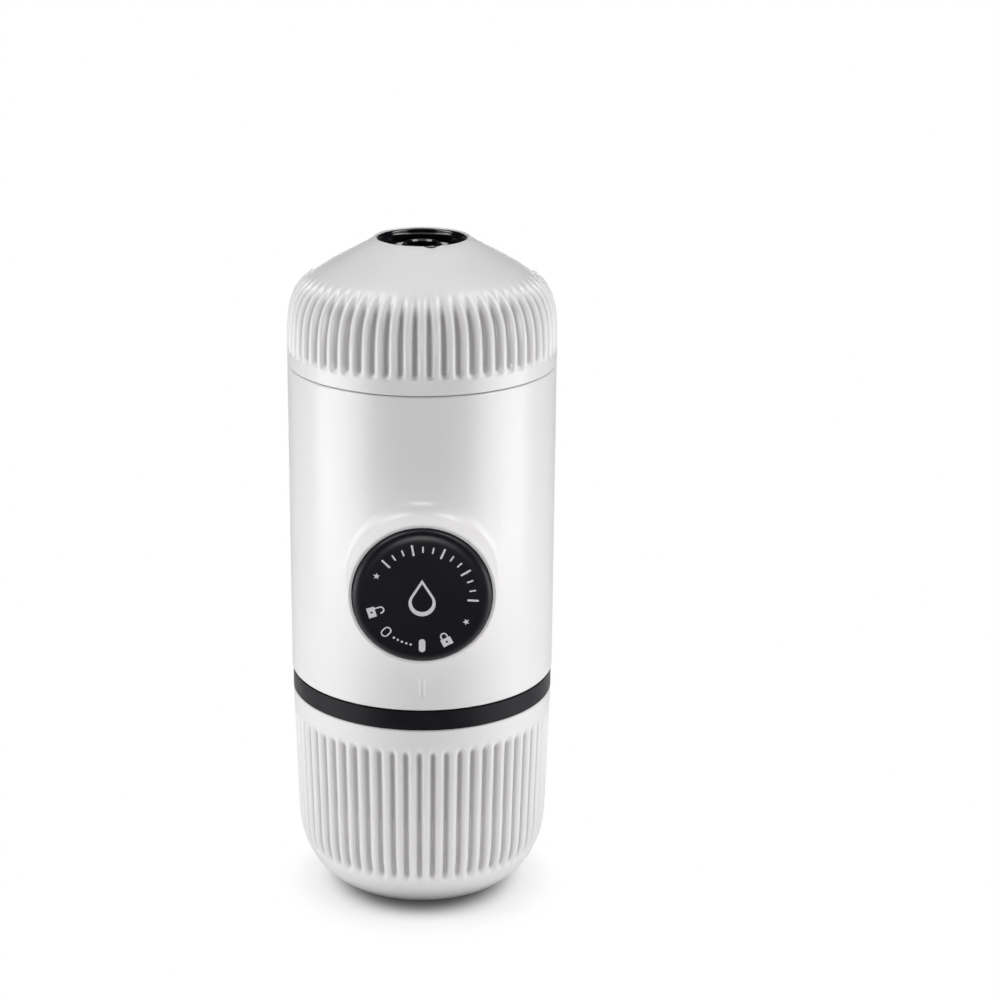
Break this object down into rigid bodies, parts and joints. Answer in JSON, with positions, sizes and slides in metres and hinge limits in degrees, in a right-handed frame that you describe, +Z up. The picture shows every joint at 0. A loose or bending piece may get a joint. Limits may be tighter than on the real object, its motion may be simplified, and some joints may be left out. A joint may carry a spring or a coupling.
{
  "type": "handheld manual espresso maker",
  "caption": "Handheld manual espresso maker: ribbed cup over a screw-on water tank, body with a twist-to-unlock pump knob, and a ribbed screw-on outlet head over the filter basket.",
  "frame": {"origin": "centre of the flat foot of the cup, on the axis of the round body", "axes": "+Z up the body towards the outlet hole, -Y towards the pump knob, +X to the right seen from the knob's side"},
  "size_m": [0.0622, 0.0711, 0.156],
  "materials": {
    "white_shell": "satin moulded ABS, off-white",
    "black_shell": "satin moulded plastic, near black",
    "black_gloss": "polished near-black plastic",
    "tank_plastic": "smooth translucent copolyester, smoke grey",
    "grey_frame": "glass-filled nylon, dark grey",
    "white_acetal": "natural acetal",
    "steel": "stainless, fine brushed",
    "screw_steel": "zinc-plated steel",
    "silicone": "food-grade silicone",
    "black_rubber": "matt black elastomer"
  },
  "bodies": {
    "main": {"main_body": "white_shell", "pump_frame": "grey_frame", "tank_socket": "black_shell", "intake_strainer": "steel", "air_valve": "silicone", "lower_screws": "screw_steel", "upper_screws": "screw_steel", "piston_guide": "grey_frame", "pump_cylinder": "white_acetal", "pump_head": "white_acetal", "pump_screws": "screw_steel", "inlet_seat": "white_acetal", "inlet_spring": "steel", "outlet_seat": "white_acetal", "outlet_spring": "steel", "inlet_tube": "silicone", "delivery_tube": "silicone", "return_spring": "steel", "group_head": "black_shell", "group_gasket": "silicone", "shower_screen": "steel", "screen_screw": "steel"},
    "plunger": {"plunger": "white_acetal", "plunger_seal": "silicone"},
    "knob": {"piston_knob": "black_shell", "piston_sleeve": "black_shell"},
    "inlet_valve": {"inlet_poppet": "silicone"},
    "outlet_valve": {"outlet_poppet": "silicone"},
    "head_carrier": {"head_seal": "silicone"},
    "outlet_head": {"outlet_head": "white_shell", "head_core": "black_gloss", "spout": "black_gloss"},
    "basket": {"filter_basket": "steel"},
    "tank_carrier": {"tank_seal": "silicone"},
    "tank": {"water_tank": "tank_plastic", "tank_band": "black_rubber"},
    "cup": {"cup": "white_shell"}
  },
  "joints": [
    {"name": "piston_stroke", "type": "slide", "parent": "main", "child": "plunger", "axis": [0, -1, 0], "range_m": [0, 0.02], "deforming": ["return_spring"]},
    {"name": "piston_turn", "type": "hinge", "parent": "plunger", "child": "knob", "pos_m": [0, -0.038, 0.0833], "axis": [0, -1, 0], "range_deg": [0, 45]},
    {"name": "inlet_lift", "type": "slide", "parent": "main", "child": "inlet_valve", "axis": [0, 0, 1], "range_m": [0, 0.001], "stiffness_N_per_m": 20, "springref_m": -0.002, "deforming": ["inlet_spring"]},
    {"name": "outlet_lift", "type": "slide", "parent": "main", "child": "outlet_valve", "axis": [0, 0, 1], "range_m": [0, 0.001], "stiffness_N_per_m": 20, "springref_m": -0.002, "deforming": ["outlet_spring"]},
    {"name": "head_pull", "type": "slide", "parent": "main", "child": "head_carrier", "axis": [0, 0, 1], "range_m": [0, 0.045]},
    {"name": "head_turn", "type": "hinge", "parent": "head_carrier", "child": "outlet_head", "pos_m": [0, 0, 0.135], "axis": [0, 0, 1], "range_deg": [0, 360]},
    {"name": "basket_pull", "type": "slide", "parent": "main", "child": "basket", "axis": [0, 0, 1], "range_m": [0, 0.0225]},
    {"name": "tank_pull", "type": "slide", "parent": "main", "child": "tank_carrier", "axis": [0, 0, -1], "range_m": [0, 0.06]},
    {"name": "tank_turn", "type": "hinge", "parent": "tank_carrier", "child": "tank", "pos_m": [0, 0, 0.03], "axis": [0, 0, -1], "range_deg": [0, 360]},
    {"name": "cup_pull", "type": "slide", "parent": "tank", "child": "cup", "axis": [0, 0, -1], "range_m": [0, 0.05]}
  ],
  "couplings": [
    {"joint": "basket_pull", "follows": "head_pull", "ratio": 0.5}
  ]
}
